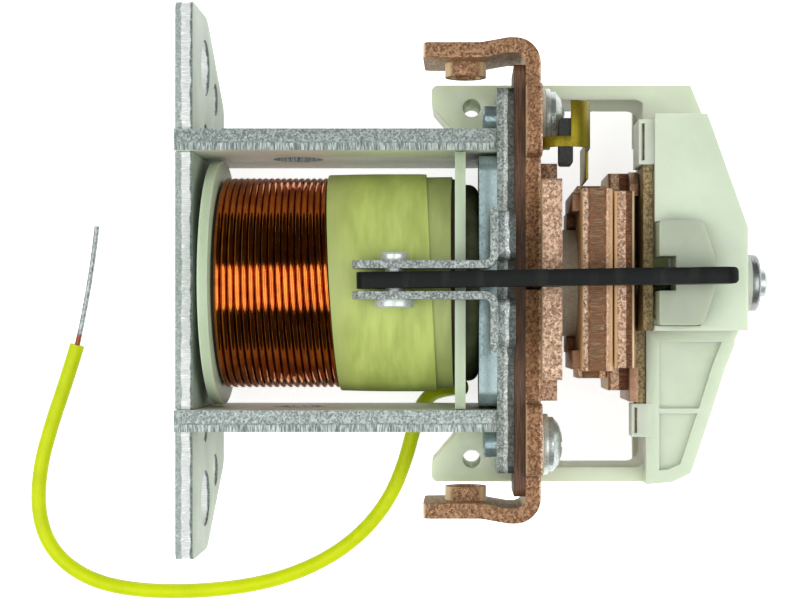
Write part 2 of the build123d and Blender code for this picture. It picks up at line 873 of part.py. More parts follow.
def housing_arm(side):
    """Arm, its hooked lug and the corner where it joins the shell."""
    inner = arm_inner_y
    arm_z = (arm_bottom, arm_top)
    lug_inner = bar_outer + lift_gap
    lug = [
        (lug_start_x, housing_half_y),
        (lug_start_x, housing_half_y - lug_tip_width),
        (lug_start_x + lug_slope, lug_inner),
        (front_x, lug_inner),
        (front_x, housing_half_y),
    ]
    tip_corners = [(lug[0], 1.2), (lug[1], 0.8)]
    arm = slab_z(rounded(face_of(lug), tip_corners), *arm_z)
    arm += block((front_x - 1, housing_x + wall), (inner, housing_half_y), arm_z)
    root_x = housing_x + root_set_back
    root = [
        (root_x, root_start_y),
        (housing_x + wall, root_start_y),
        (housing_x + wall, inner + 0.1),
        (root_x - arm_root_r, inner + 0.1),
        (root_x - arm_root_r, inner),
        (root_x, inner),
    ]
    arm += slab_z(rounded(face_of(root), [(root[5], arm_root_r - 0.1)]), *arm_z)
    hole_z = (arm_bottom + arm_top) / 2
    hole_y = housing_half_y - lug_hole_inset
    arm -= Pos(lug_hole_x, hole_y, hole_z) * Cylinder(lug_hole_r, arm_top - arm_bottom + 2)
    return arm if side > 0 else mirrored(arm)


def seat_pocket(side):
    """Pocket that grips one end of the seat plate."""
    low, high = (seat_upper_end, seat_top) if side > 0 else (seat_lower_end, seat_low_top)
    around = slot_gap + pocket_t
    pocket_inner = (third_upper if side > 0 else third_lower) + 2 * lift_gap
    span = sorted((side * pocket_inner, side * (seat_half_y + slot_gap + pocket_side)))
    pocket = block((seat_x - around, housing_x + wall / 2), span, (low - around, high + around))
    slit_y = sorted((side * (pocket_inner + pocket_t), side * seat_half_y))
    slit_x = (seat_x - slot_gap - slit_width / 2, seat_x - slot_gap + slit_width / 2)
    return pocket - block(slit_x, slit_y, (high, high + around + 1))


def block_outline(left_x, grow=0.0):
    """Outline of the hook guide block; grow widens it for the notch that holds it."""
    x1 = block_x0 + block_length + grow
    middle = (block_lower + block_upper) / 2
    return face_of([
        (left_x, block_lower - grow),
        (x1 - block_draw, block_lower - grow),
        (x1, middle - block_nose),
        (x1, middle + block_nose),
        (x1 - block_draw, block_upper + grow),
        (left_x, block_upper + grow),
    ])


def guide_opening():
    """Notch in the raised wall that the hook guide block fills."""
    return slab_z(block_outline(housing_x - 1, slot_gap), raised_top - wall - 1, raised_top + 1)


def rear_housing():
    shell = housing_shell()
    for side in (-1, 1):
        shell += housing_arm(side)
        shell += seat_pocket(side)
    slot = extrude(Plane.YZ.offset(seat_x - slot_gap) * seat_outline(slot_gap), amount=seat_t + 2 * slot_gap)
    shell -= slot
    shell += disc(boss_r, housing_end_x - wall / 2, housing_end_x + boss_length)
    web_foot_y = -housing_half_y + lower_draw[-1][1]
    web_head_y = -boss_r + wall / 5
    web = face_of([
        (housing_end_x - wall / 2, web_foot_y - wall / 4),
        (housing_end_x, web_foot_y),
        (housing_end_x + boss_length, web_head_y),
        (housing_end_x - wall / 2, web_head_y),
    ])
    shell += slab_z(web, -web_t / 2, web_t / 2)
    floor_x = (housing_x - 1, housing_x + root_set_back)
    shell -= block(floor_x, (-root_start_y, root_start_y), (-plate_back - 1, wall - plate_back))
    shell -= low_recess()
    shell -= guide_opening()
    shell -= disc(guide_thread_r + press_gap, housing_end_x - wall - 1, housing_end_x + boss_length + 1)
    return shell


def hook_guide_block():
    """Block that keeps the lever's hook in line; its window is wider than the hook."""
    x1 = block_x0 + block_length
    rounding = [
        ((block_x0, block_lower), block_near_r),
        ((x1 - block_draw, block_lower), block_far_r),
        ((x1 - block_draw, block_upper), block_far_r),
        ((block_x0, block_upper), block_near_r),
    ]
    body = slab_z(rounded(block_outline(block_x0), rounding), raised_top - wall, block_top)
    flange_top = raised_top - wall - slot_gap
    flange = block(
        (block_x0, x1 + block_flange),
        (block_lower + 2 * block_flange, block_upper + block_flange),
        (flange_top - block_flange_t, flange_top),
    )
    neck = block(
        (block_x0, x1 - block_draw),
        (block_lower + 2 * block_flange, block_upper - slot_gap),
        (flange_top - 0.1, raised_top - wall + 0.1),
    )
    window = block(
        (block_x0 - 1, window_x),
        (window_lower, window_upper),
        (flange_top - block_flange_t - 1, block_top + 1),
    )
    return body + neck + flange - window


def catch_collar():
    return disc(collar_stop_r, stop_x, rod_end_x) - disc(rod_tip_r + press_gap, stop_x - 1, rod_end_x + 1)


def guide_screw():
    pin_start = housing_x + lift_gap
    nose = disc(guide_pin_r, pin_start, housing_end_x - wall)
    shank_end = housing_end_x + boss_length + guide_nut_t + guide_tip
    profile = [
        (housing_end_x - wall, 0),
        (housing_end_x - wall, guide_thread_r),
        (shank_end - 0.5, guide_thread_r),
        (shank_end, guide_thread_r - 0.6),
        (shank_end, 0),
    ]
    return nose + turned(profile)


def guide_nut():
    start = housing_end_x + boss_length
    profile = [
        (start, guide_thread_r + press_gap),
        (start, guide_nut_r),
        (start + 0.7 * guide_nut_t, guide_nut_r),
        (start + guide_nut_t, guide_nut_r - 0.5),
        (start + guide_nut_t, guide_thread_r + press_gap),
    ]
    return turned(profile)


def coil_spring(mean_r, wire_r, turns, start, end):
    """Helical spring along X between two seats."""
    gap = spring_seat_gap + wire_r
    height = end - start - 2 * gap
    path = Helix(height / turns, height, mean_r, center=(start + gap, 0, 0), direction=(1, 0, 0))
    section = Plane(origin=path @ 0, z_dir=path % 0) * Circle(wire_r)
    return sweep(section, path=path)


def return_spring():
    start = plate_t + core_length - core_pocket
    end = plunger_x + plunger_pocket
    return coil_spring(return_spring_r, return_wire_r, return_turns, start, end)


def contact_spring():
    return coil_spring(contact_spring_r, contact_wire_r, contact_turns, rod_end_x, housing_end_x - wall)


def trip_lever():
    """Flat lever: tail and pivot at the coil, hook behind the bridges, rounded finger end."""
    hook_x1 = hook_x + hook_t
    low = block_top + lift_gap
    profile = [
        (lever_tail_x, lever_bottom),
        (lever_pivot_x + lever_shoulder, lever_bottom),
        (front_x, low + 0.6),
        (hook_x, low),
        (hook_x, hook_tip_z),
        (hook_x1 - 0.4, hook_tip_z),
        (hook_x1, hook_tip_z + 1.2),
        (hook_x1, low),
        (lever_tip_x - 3, low),
        (lever_tip_x, low + 1.6),
        (lever_tip_x, lever_far_top - 1.8),
        (lever_tip_x - 2.4, lever_far_top),
        (lever_tip_x - lever_flat, lever_far_top),
        (lever_tip_x - lever_dip_end, lever_far_top - 0.5),
        (lever_tip_x - lever_dip, lever_far_top - 0.5),
        (lever_tip_x - lever_fall, lever_far_top + 0.4),
        (lever_tip_x - lever_rise, lever_far_top + 0.4),
        (front_x, lever_top + 0.9),
        (lever_pivot_x + lever_shoulder, lever_top),
        (lever_tail_x, lever_top),
    ]
    flat = make_face(Polyline(*profile, close=True))
    flat = rounded(flat, [(profile[0], 1.6), (profile[-1], 1.6)])
    bar = extrude(Plane.XZ.offset(-lever_y - lever_t / 2) * flat, amount=lever_t)
    tip = bar.edges().filter_by(Axis.Z).group_by(Axis.X)[-1]
    bar = fillet(tip, lever_tip_r)
    hole = drill_y(pin_r + running_gap, lever_pivot_x, lever_pivot_z, lever_y - lever_t, lever_y + lever_t)
    return (bar - hole).rotate(Axis((lever_pivot_x, lever_y, lever_pivot_z), (0, 0, 1)), lever_skew)


def lever_bracket(side):
    """Bent sheet ear: one leg lies on the front plate, the other carries the pin."""
    near = bracket_gap / 2
    far = near + bracket_t
    bend = [
        (bracket_tail_x, near),
        (front_x, near),
        (front_x, bracket_reach),
        (front_x - bracket_t, bracket_reach),
        (front_x - bracket_t, far),
        (bracket_tail_x, far),
    ]
    rounding = [(bend[1], bracket_bend_r + bracket_t), (bend[4], bracket_bend_r)]
    sheet = slab_z(rounded(face_of(bend), rounding), bracket_low, bracket_high)
    ends = sheet.edges().filter_by(Axis.Y).group_by(Axis.X)[0]
    sheet = fillet(ends, 2.0)
    sheet -= drill_y(pin_r + press_gap, lever_pivot_x, lever_pivot_z, near - 1, far + 1)
    if side < 0:
        sheet = mirrored(sheet)
    return Pos(0, lever_y, 0) * sheet


def lever_pin():
    half = bracket_gap / 2 + bracket_t
    shank = drill_y(pin_r, lever_pivot_x, lever_pivot_z, lever_y - half, lever_y + half)
    full = half + pin_head_t
    upper = drill_y(pin_upper_head_r, lever_pivot_x, lever_pivot_z, lever_y + half, lever_y + full)
    lower = drill_y(pin_lower_head_r, lever_pivot_x, lever_pivot_z, lever_y - full, lever_y - half)
    rims = upper.edges().filter_by(GeomType.CIRCLE).sort_by(Axis.Y)
    upper = fillet(rims[-1], 0.35)
    rims = lower.edges().filter_by(GeomType.CIRCLE).sort_by(Axis.Y)
    lower = fillet(rims[0], 0.35)
    return shank + upper + lower


def leaf_spring():
    """Foot under the upper washer, arch over the buffer, leg and finger beside the bridge."""
    outer_r = leaf_span / 2
    centre_z = leaf_top - outer_r
    arch_x = contact_x + outer_r
    hoop = Circle(outer_r) - Circle(outer_r - leaf_t)
    hoop &= Pos(0, outer_r) * Rectangle(2 * outer_r, 2 * outer_r)
    arch_face = Plane(origin=(arch_x, leaf_low_y, centre_z), x_dir=(1, 0, 0), z_dir=(0, -1, 0)) * hoop
    arch = extrude(arch_face, amount=-(leaf_high_y - leaf_low_y))
    foot = block((contact_x, contact_x + leaf_t), (leaf_low_y, leaf_high_y), (leaf_foot_z, centre_z))
    wide_foot_z = (leaf_foot_z, screw_z + leaf_foot_rise)
    foot += block((contact_x, contact_x + leaf_t), (leaf_low_y, terminal_wide_y), wide_foot_z)
    foot -= disc(screw_r + sleeve_t + 2 * press_gap, contact_x - 1, contact_x + 1, screw_y, screw_z)
    leg_x = (contact_x + leaf_span - leaf_t, contact_x + leaf_span)
    leg = block(leg_x, (leaf_low_y, leaf_high_y), (leg_end_z, centre_z))
    finger = block(leg_x, (finger_y, finger_y + finger_wide), (finger_end_z, finger_high_z))
    head_end = screw_stack_x(1) + sleeve_flange_t + washer_t + screw_head_t
    notch_x = (contact_x - 1, head_end + lift_gap)
    notch_y = (leaf_neck_y, terminal_wide_y + 1)
    notch = block(notch_x, notch_y, (screw_z + washer_r + lift_gap, leaf_top + 1))
    return arch + foot + leg + finger - notch


def spring_buffer():
    """Rubber bar that lies inside the leaf's arch and stands out at its lower end."""
    arch_r = leaf_span / 2
    pad_x = (buffer_x, buffer_x + buffer_width)
    pad = block(pad_x, (buffer_low_y, buffer_high_y), (buffer_bottom, leaf_top))
    pad = fillet(pad.edges().filter_by(Axis.Z), buffer_r)
    inside = drill_y(
        arch_r - leaf_t - press_gap,
        contact_x + arch_r,
        leaf_top - arch_r,
        buffer_low_y - 1,
        buffer_high_y + 1,
    )
    return pad & inside


def cord(points, radius):
    """Straight runs joined by arcs as large as the runs allow."""
    radii = []
    for before, corner, after in zip(points, points[1:], points[2:]):
        first = Vector(*corner) - Vector(*before)
        second = Vector(*after) - Vector(*corner)
        shorter = min(first.length, second.length)
        turn = math.radians(first.get_angle(second))
        radii.append(0.45 * shorter / math.tan(turn / 2))
    print("cord radii:", [round(value, 1) for value in radii])
    path = FilletPolyline(*points, radius=radii)
    section = Plane(origin=path @ 0, z_dir=path % 0) * Circle(radius)
    tube = sweep(section, path=path)
    print("cord length", round(path.length, 1), "volume ratio",
          round(tube.volume / (math.pi * radius ** 2 * path.length), 4))
    return tube


def build_parts():
    upper_bar = yoke_bar()
    upper_terminal = terminal()
    upper_contact = fixed_contact()
    upper_tip = contact_tip()
    return {
        "mounting_plate": mounting_plate(),
        "upper_yoke_bar": upper_bar,
        "lower_yoke_bar": mirrored(upper_bar),
        "fixed_core": fixed_core(),
        "core_spacer": core_spacer(),
        "bobbin": bobbin(),
        "copper_winding": copper_winding(),
        "coil_tape": coil_tape(),
        "coil_tape_end": coil_tape_end(),
        "end_ring": end_ring(),
        "pole_plate": pole_plate(),
        "front_plate": front_plate(),
        "insulating_plate": insulating_plate(),
        "upper_terminal": upper_terminal,
        "lower_terminal": mirrored(upper_terminal),
        "upper_fixed_contact": upper_contact,
        "lower_fixed_contact": mirrored(upper_contact),
        "screw_sleeves": Compound([screw_sleeve(1), screw_sleeve(-1)]),
        "screw_washers": Compound([screw_washer(1), screw_washer(-1)]),
        "terminal_screws": Compound([terminal_screw(1), terminal_screw(-1)]),
        "leaf_spring": leaf_spring(),
        "spring_buffer": spring_buffer(),
        "plunger": plunger(),
        "plunger_rod": plunger_rod(),
        "return_spring": return_spring(),
        "insulating_bush": insulating_bush(),
        "moving_bridge": moving_bridge(),
        "bridge_contact_tips": Compound([upper_tip, mirrored(upper_tip)]),
        "second_bridge": second_bridge(),
        "third_bridge": third_bridge(),
        "retaining_clip": retaining_clip(),
        "spring_seat_plate": spring_seat_plate(),
        "guide_disc": guide_disc(),
        "rear_housing": rear_housing(),
        "hook_guide_block": hook_guide_block(),
        "catch_collar": catch_collar(),
        "contact_spring": contact_spring(),
        "guide_screw": guide_screw(),
        "guide_nut": guide_nut(),
        "upper_lever_bracket": lever_bracket(1),
        "lower_lever_bracket": lever_bracket(-1),
        "lever_pin": lever_pin(),
        "trip_lever": trip_lever(),
        "lead_wire": cord(lead_route, lead_r),
        "lead_conductor": cord(conductor_route, conductor_r),
    }


os.makedirs("parts", exist_ok=True)
for node, shape in build_parts().items():
    export_step(shape, f"parts/{node}.step")
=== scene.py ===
"""Looks of the starter solenoid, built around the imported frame. Lengths are in metres unless marked mm."""
import json
import math

import bmesh
import bpy
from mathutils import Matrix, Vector


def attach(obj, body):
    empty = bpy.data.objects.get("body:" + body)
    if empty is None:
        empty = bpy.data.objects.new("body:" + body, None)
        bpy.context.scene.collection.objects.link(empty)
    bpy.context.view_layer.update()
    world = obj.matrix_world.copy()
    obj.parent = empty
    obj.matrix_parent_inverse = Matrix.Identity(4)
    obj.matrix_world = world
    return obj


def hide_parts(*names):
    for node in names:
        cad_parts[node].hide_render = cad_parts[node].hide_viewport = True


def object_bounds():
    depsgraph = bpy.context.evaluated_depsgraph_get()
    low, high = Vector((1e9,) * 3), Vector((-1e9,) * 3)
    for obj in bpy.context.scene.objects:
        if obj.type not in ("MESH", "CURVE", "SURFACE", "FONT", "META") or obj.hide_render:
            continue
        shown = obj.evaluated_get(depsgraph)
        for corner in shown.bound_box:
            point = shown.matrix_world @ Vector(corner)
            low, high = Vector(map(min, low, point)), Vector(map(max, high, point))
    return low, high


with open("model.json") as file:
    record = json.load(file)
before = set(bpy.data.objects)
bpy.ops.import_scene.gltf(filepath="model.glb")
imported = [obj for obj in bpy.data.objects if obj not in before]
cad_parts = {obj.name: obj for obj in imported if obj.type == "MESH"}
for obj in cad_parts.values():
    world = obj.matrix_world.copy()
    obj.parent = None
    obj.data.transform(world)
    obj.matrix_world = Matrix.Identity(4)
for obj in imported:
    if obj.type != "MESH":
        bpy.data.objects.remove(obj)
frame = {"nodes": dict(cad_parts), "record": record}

MM = 0.001
ROOT = "frame_body"
CAD_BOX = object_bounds()
scene = bpy.context.scene

# Camera: looks straight down on the solenoid, as in the photograph
CAMERA_AT = (49.7 * MM, -9.0 * MM, 309.6 * MM)
CLIP_START = 0.01
FOCAL_PX = 1720.0
IMAGE_W = 800.0
CENTRE_OFFSET_PX = (65.0, 33.0)
SENSOR_MM = 36.0

# Light: two softboxes above the solenoid, and the world's strength for each kind of ray
SOFTBOX_X = {"softbox_left": -0.37, "softbox_right": 0.47}
SOFTBOX_Y, SOFTBOX_Z = -0.07, 0.5
SOFTBOX_SIZE = (0.74, 0.45)
SOFTBOX_POWER = 2.65
WORLD_FILL = 0.52
WORLD_LAYERS = (("Is Glossy Ray", 0.035), ("Is Transmission Ray", 1.0), ("Is Camera Ray", 1.0))

# Floor: white paper just under the solenoid, with the glow that the camera and mirrored rays see
FLOOR_X, FLOOR_GAP = 0.05, 1e-5
FLOOR_SIZE, FLOOR_CELLS = 1.5, 8
PAPER_LIGHT, PAPER_DARK, PAPER_ROUGH = (0.91, 0.91, 0.91), (0.93, 0.93, 0.93), 0.9
SEEN_GLOW, MIRRORED_GLOW = 0.75, 0.65

# Lead: the same route as in the part's source, in mm
LEAD_R = 1.4 * MM
CONDUCTOR_R = 0.5 * MM
LEAD_ROUTE = [
    (49.6, -19.2, -15.0), (44.6, -19.6, -18.4), (41.4, -22.4, -21.0), (39.8, -27.4, -22.1),
    (38.2, -33.6, -22.2), (35.4, -40.6, -22.2), (30.2, -47.4, -22.2), (22.6, -53.0, -22.2),
    (12.4, -57.0, -22.2), (0.0, -58.8, -22.2), (-13.0, -58.8, -22.2), (-22.8, -56.7, -22.2),
    (-29.8, -51.5, -22.2), (-32.7, -44.2, -22.2), (-32.4, -35.2, -22.2), (-30.0, -26.4, -22.2),
    (-27.2, -18.2, -22.2), (-25.1, -11.3, -22.2),
]
CONDUCTOR_ROUTE = [(-25.1, -11.3, -22.2), (-22.5, 0.2, -22.2), (-21.3, 11.6, -22.2)]
CURVE_ORDER = 3
CURVE_STEPS, CURVE_ROUNDNESS = 10, 6

# Coil, in mm
COIL_R = 18.8
COIL_ENDS_X = (6.52, 47.98)
COIL_INNER_R = 10.3
WIRE_R = 0.575
WIRE_PITCH = 1.15
WIRE_START_X = 7.55
WIRE_TURNS = 17.2
HIDDEN_TURN = 0.35
FIRST_RISE, MORE_RISE, LAST_SWAY = 0.2, 1.25, 0.3
STEPS_A_TURN, WIRE_SIDES = 112, 10
BARE_CORE_R = COIL_R - 1.4 * WIRE_R
CORE_STEP_X = (27.4, 27.6)

# Tape over the coil, in mm
TAPE_R = 19.5
TAPED_CORE_R = TAPE_R - 0.9
TAPE_LEFT_X, TAPE_LEFT_LEAN = 26.45, (-1.05, 0.25)
TAPE_RIGHT_X, TAPE_RIGHT_LEAN = 43.75, (-0.95, 0.25)
TAPE_INNER_X, TAPE_INNER_DEPTH = (27.8, 27.9), 0.85
END_BAND_X, END_BAND_LEAN = (42.6, 47.6), (-0.15, -0.25)
END_BAND_R = TAPE_R - 0.45
RING_STEPS = 160

# Edges of the formed pieces
MERGE_WITHIN = 2e-6
FLAT_WITHIN_DEG = 1.0
MOST_CORNERS = 4
BEVEL_FROM_DEG, BEVEL_SEGMENTS = 40.0, 2
SMOOTH_BELOW_DEG = 38.0


class Nodes:
    """Short calls that build one material's node tree."""

    def __init__(self, name):
        self.material = bpy.data.materials.new(name)
        self.material.use_nodes = True
        self.tree = self.material.node_tree
        self.tree.nodes.clear()
        self.shader = self.add("ShaderNodeBsdfPrincipled")
        self.output = self.add("ShaderNodeOutputMaterial")
        self.join(self.shader.outputs["BSDF"], self.output.inputs["Surface"])

    def add(self, kind, **values):
        node = self.tree.nodes.new(kind)
        for key, value in values.items():
            setattr(node, key, value)
        return node

    def add_fed(self, kind, feeds, **values):
        node = self.add(kind, **values)
        for key, value in feeds.items():
            self.feed(node.inputs[key], value)
        return node

    def join(self, source, target):
        self.tree.links.new(source, target)

    def feed(self, target, value):
        """Links a socket or writes a plain value."""
        if isinstance(value, bpy.types.NodeSocket):
            self.join(value, target)
        elif isinstance(value, tuple) and len(value) == 3 and target.type == "RGBA":
            target.default_value = (*value, 1.0)
        else:
            target.default_value = value

    def set(self, **values):
        """Sets the shader's inputs; an underscore stands for a space."""
        for name, value in values.items():
            self.feed(self.shader.inputs[name.replace("_", " ")], value)

    def place(self):
        return self.add("ShaderNodeTexCoord").outputs["Object"]

    def split(self, vector):
        return self.add_fed("ShaderNodeSeparateXYZ", {"Vector": vector}).outputs

    def normal(self):
        """Normal in the piece's own frame, so that it turns with a moving piece."""
        node = self.add("ShaderNodeVectorTransform", vector_type="NORMAL", convert_from="WORLD", convert_to="OBJECT")
        self.join(self.add("ShaderNodeNewGeometry").outputs["Normal"], node.inputs["Vector"])
        return self.split(node.outputs["Vector"])

    def stretch(self, vector, factors):
        return self.add_fed("ShaderNodeVectorMath", {0: vector, 1: factors}, operation="MULTIPLY").outputs[0]

    def noise(self, size, vector=None, detail=3.0, rough=0.55, warp=0.0):
        """Noise whose features are about the given size."""
        feeds = {"Vector": vector or self.place(), "Scale": 1.0 / size, "Detail": detail, "Roughness": rough,
                 "Distortion": warp}
        return self.add_fed("ShaderNodeTexNoise", feeds).outputs["Fac"]

    def flakes(self, size):
        """Cells about the given size, each with its own colour."""
        return self.add_fed("ShaderNodeTexVoronoi", {"Vector": self.place(), "Scale": 1.0 / size}).outputs["Color"]

    def math(self, operation, a, b=0.0):
        return self.add_fed("ShaderNodeMath", {0: a, 1: b}, operation=operation).outputs[0]

    def span(self, value, low, high, to_low=0.0, to_high=1.0):
        """Smooth step of value from low to high."""
        feeds = {"Value": value, "From Min": low, "From Max": high, "To Min": to_low, "To Max": to_high}
        return self.add_fed("ShaderNodeMapRange", feeds, interpolation_type="SMOOTHSTEP").outputs["Result"]

    def mix(self, factor, a, b):
        """Mixes two colours."""
        return self.add_fed("ShaderNodeMix", {0: factor, 6: a, 7: b}, data_type="RGBA").outputs[2]

    def blend(self, factor, a, b):
        """Mixes two numbers."""
        return self.add_fed("ShaderNodeMix", {0: factor, 2: a, 3: b}, data_type="FLOAT").outputs[0]

    def bump(self, height, depth, strength=1.0, under=None):
        """Bump whose full height is the given depth."""
        node = self.add_fed("ShaderNodeBump", {"Height": height, "Distance": depth, "Strength": strength})
        if under is not None:
            self.join(under, node.inputs["Normal"])
        return node.outputs["Normal"]


# Where a look changes within a piece, in mm
BLUED_TO_BRIGHT_X = (58.0, 60.0)
STAIN_FADES_X = (27.0, 31.5)
COPPER_TO_TIN_Y = (-9.6, -8.8)

# Cut edges and faces of sheet metal
AXIS_INDEX = {"x": 0, "y": 1}
FINE_GRAIN, COARSE_GRAIN, CONTACT_GRAIN = 0.25 * MM, 0.28 * MM, 0.32 * MM
STREAK_SQUEEZE = 0.10
ZONE_BLUR = 0.03
FACE_FROM = (0.55, 0.8)
FACE_METALLIC = 0.3
FACE_SHADE = 0.86
FACE_ROUGH, FACE_ROUGH_RANGE = 0.42, 0.12
EDGE_ROUGH, EDGE_ROUGH_RANGE = 0.38, 0.14
EDGE_DEPTH = 0.10 * MM


def zone_color(n, kind, dark, light, place, index, grain):
    """Colour of one zone of a cut edge: torn crystal, streaks across the sheet, or plain."""
    if kind == "torn":
        mottle = n.span(n.noise(grain, place, detail=4.0, rough=0.75, warp=0.8), 0.38, 0.62)
        flake = n.span(n.flakes(grain * 1.3), 0.3, 0.75)
        tone = n.math("MULTIPLY", n.math("ADD", mottle, flake), 0.5)
    elif kind == "streak":
        squeeze = tuple(STREAK_SQUEEZE if i == index else 1.0 for i in range(3))
        tone = n.span(n.noise(grain * 0.8, n.stretch(place, squeeze), detail=3.0, rough=0.6), 0.36, 0.64)
    else:
        tone = n.span(n.noise(grain * 2.0, place, detail=4.0, rough=0.6), 0.3, 0.7)
    return n.mix(tone, dark, light), tone


def sheared_metal(name, across, face, zones, metallic=0.55, flip=False, grain=FINE_GRAIN, wave=0.3):
    """Sheet metal with plain faces. across is the axis through the sheet and its two faces in mm, and zones are
    (end, kind, dark, light) along it, with the ends as shares of the thickness."""
    n = Nodes(name)
    place = n.place()
    axis, low, high = across
    index = AXIS_INDEX[axis]
    share = n.math("DIVIDE", n.math("SUBTRACT", n.split(place)[index], low * MM), high * MM - low * MM)
    if flip:
        share = n.math("SUBTRACT", 1.0, share)
    drift = n.noise(2.4 * MM, place, detail=5.0, rough=0.6)
    share = n.math("ADD", share, n.math("MULTIPLY", n.math("SUBTRACT", drift, 0.5), wave))
    color, tone, last = None, None, 0.0
    for end, kind, dark, light in zones:
        zone, zone_tone = zone_color(n, kind, dark, light, place, index, grain)
        if color is None:
            color, tone = zone, zone_tone
        else:
            past = n.span(share, last - ZONE_BLUR, last + ZONE_BLUR)
            color, tone = n.mix(past, color, zone), n.blend(past, tone, zone_tone)
        last = end
    patch = n.span(n.noise(8.0 * MM, place, detail=4.0), 0.3, 0.7)
    fine = n.noise(0.5 * MM, place, detail=3.0)
    face_color = n.mix(patch, face, tuple(FACE_SHADE * c for c in face))
    on_face = n.span(n.math("ABSOLUTE", n.normal()[index]), *FACE_FROM)
    edge_rough = n.span(tone, 0.0, 1.0, EDGE_ROUGH + EDGE_ROUGH_RANGE, EDGE_ROUGH)
    face_rough = n.span(fine, 0.3, 0.7, FACE_ROUGH, FACE_ROUGH + FACE_ROUGH_RANGE)
    relief = n.blend(on_face, tone, n.math("MULTIPLY", fine, 0.2))
    n.set(Base_Color=n.mix(on_face, color, face_color),
          Metallic=n.blend(on_face, metallic, min(metallic, FACE_METALLIC)),
          Roughness=n.blend(on_face, edge_rough, face_rough),
          Normal=n.bump(relief, EDGE_DEPTH, 0.7))
    return n.material


def smooth_metal(name, color, dark, rough, metallic):
    """Turned or plated metal with faint marks and patches."""
    n = Nodes(name)
    patch = n.span(n.noise(4.8 * MM, detail=5.0), 0.35, 0.7)
    marks = n.noise(0.36 * MM, detail=4.0, rough=0.65)
    n.set(Base_Color=n.mix(n.math("MULTIPLY", patch, n.span(marks, 0.3, 0.7)), color, dark),
          Metallic=metallic, Roughness=n.span(marks, 0.3, 0.7, *rough), Normal=n.bump(marks, 0.02 * MM, 0.6))
    return n.material


def screw_metal():
    """Bright head, darker blued shank towards the plates."""
    n = Nodes("screw_steel")
    x = n.split(n.place())[0]
    marks = n.noise(0.4 * MM, detail=4.0, rough=0.65)
    shade = n.span(marks, 0.35, 0.7)
    bright = n.mix(shade, (0.62, 0.68, 0.65), (0.30, 0.34, 0.33))
    blued = n.mix(shade, (0.32, 0.43, 0.45), (0.15, 0.21, 0.23))
    n.set(Base_Color=n.mix(n.span(x, *(at * MM for at in BLUED_TO_BRIGHT_X)), blued, bright), Metallic=0.6,
          Roughness=n.span(marks, 0.3, 0.7, 0.22, 0.38), Normal=n.bump(marks, 0.02 * MM, 0.6))
    return n.material


def enamelled_wire():
    """Copper wire under clear brown varnish."""
    n = Nodes("enamelled_wire")
    place = n.place()
    drift = n.noise(3.0 * MM, place, detail=3.0)
    along = n.noise(0.9 * MM, n.stretch(place, (2.5, 0.4, 0.4)), detail=3.0)
    n.set(Base_Color=n.mix(n.span(drift, 0.3, 0.7), (0.60, 0.178, 0.032), (0.40, 0.098, 0.016)), Metallic=1.0,
          Roughness=n.span(along, 0.3, 0.7, 0.09, 0.14), Coat_Weight=0.05, Coat_Roughness=0.1,
          Normal=n.bump(along, 0.012 * MM, 0.4))
    return n.material


def cloth_tape(name, pale, deep, stained):
    """Varnished cloth tape: fine weave along the coil, soft stains towards its left edge."""
    n = Nodes(name)
    place = n.place()
    x = n.split(place)[0]
    thread = n.noise(0.30 * MM, n.stretch(place, (1.0, 0.05, 0.05)), detail=2.0)
    cloud = n.noise(7.0 * MM, n.stretch(place, (1.6, 0.5, 0.5)), detail=3.0, rough=0.5)
    streak = n.noise(1.3 * MM, n.stretch(place, (1.0, 0.16, 0.16)), detail=4.0)
    tone = n.math("ADD", n.math("MULTIPLY", cloud, 0.65), n.math("MULTIPLY", streak, 0.35))
    body = n.mix(n.span(tone, 0.36, 0.64), deep, pale)
    fray = n.math("SUBTRACT", x, n.math("MULTIPLY", n.math("SUBTRACT", streak, 0.5), 5.0 * MM))
    edge = n.span(fray, *(at * MM for at in STAIN_FADES_X), 1.0, 0.0)
    body = n.mix(n.math("MULTIPLY", edge, 0.6), body, stained)
    folds = n.bump(streak, 0.10 * MM, 0.4)
    n.set(Base_Color=n.mix(n.math("MULTIPLY", n.span(thread, 0.35, 0.65), 0.16), body, deep),
          Roughness=n.span(streak, 0.3, 0.7, 0.42, 0.6), Subsurface_Weight=0.15,
          Subsurface_Radius=(1.0, 1.0, 0.4), Subsurface_Scale=0.5 * MM,
          Normal=n.bump(thread, 0.03 * MM, 0.5, folds))
    return n.material


def nylon(name, top, low, z_mm, weight, through=0.0, scale=2.4 * MM):
    """Milky moulded nylon that passes from the low to the top colour over z_mm; light goes into it. A low colour
    lighter than the top is painted light.
    """
    n = Nodes(name)
    place = n.place()
    cloud = n.span(n.noise(9.0 * MM, place, detail=4.0), 0.3, 0.7)
    fine = n.noise(0.6 * MM, place, detail=3.0)
    height = n.span(n.split(place)[2], *(at * MM for at in z_mm))
    color = n.mix(height, low, top)
    shade = n.mix(height, tuple(0.93 * c for c in low), tuple(0.93 * c for c in top))
    n.set(Base_Color=n.mix(cloud, color, shade), Roughness=n.span(fine, 0.3, 0.7, 0.36, 0.48),
          Subsurface_Weight=weight, Subsurface_Radius=(1.0, 1.25, 0.7), Subsurface_Scale=scale,
          Transmission_Weight=through, Normal=n.bump(fine, 0.02 * MM, 0.3))
    return n.material


def laminate(name, dark, light, speck=0.0):
    """Pressed board across X: layers on its edges, and more of an even mottle with speck."""
    n = Nodes(name)
    layers = n.noise(1.2 * MM, n.stretch(n.place(), (6.0, 0.25, 0.25)), detail=4.0, rough=0.65)
    mottle = n.noise(0.5 * MM, detail=4.0, rough=0.7)
    tone = n.blend(speck, layers, mottle)
    n.set(Base_Color=n.mix(n.span(tone, 0.38, 0.64), dark, light),
          Roughness=n.span(mottle, 0.3, 0.7, 0.45, 0.7), Normal=n.bump(tone, 0.06 * MM, 0.6))
    return n.material


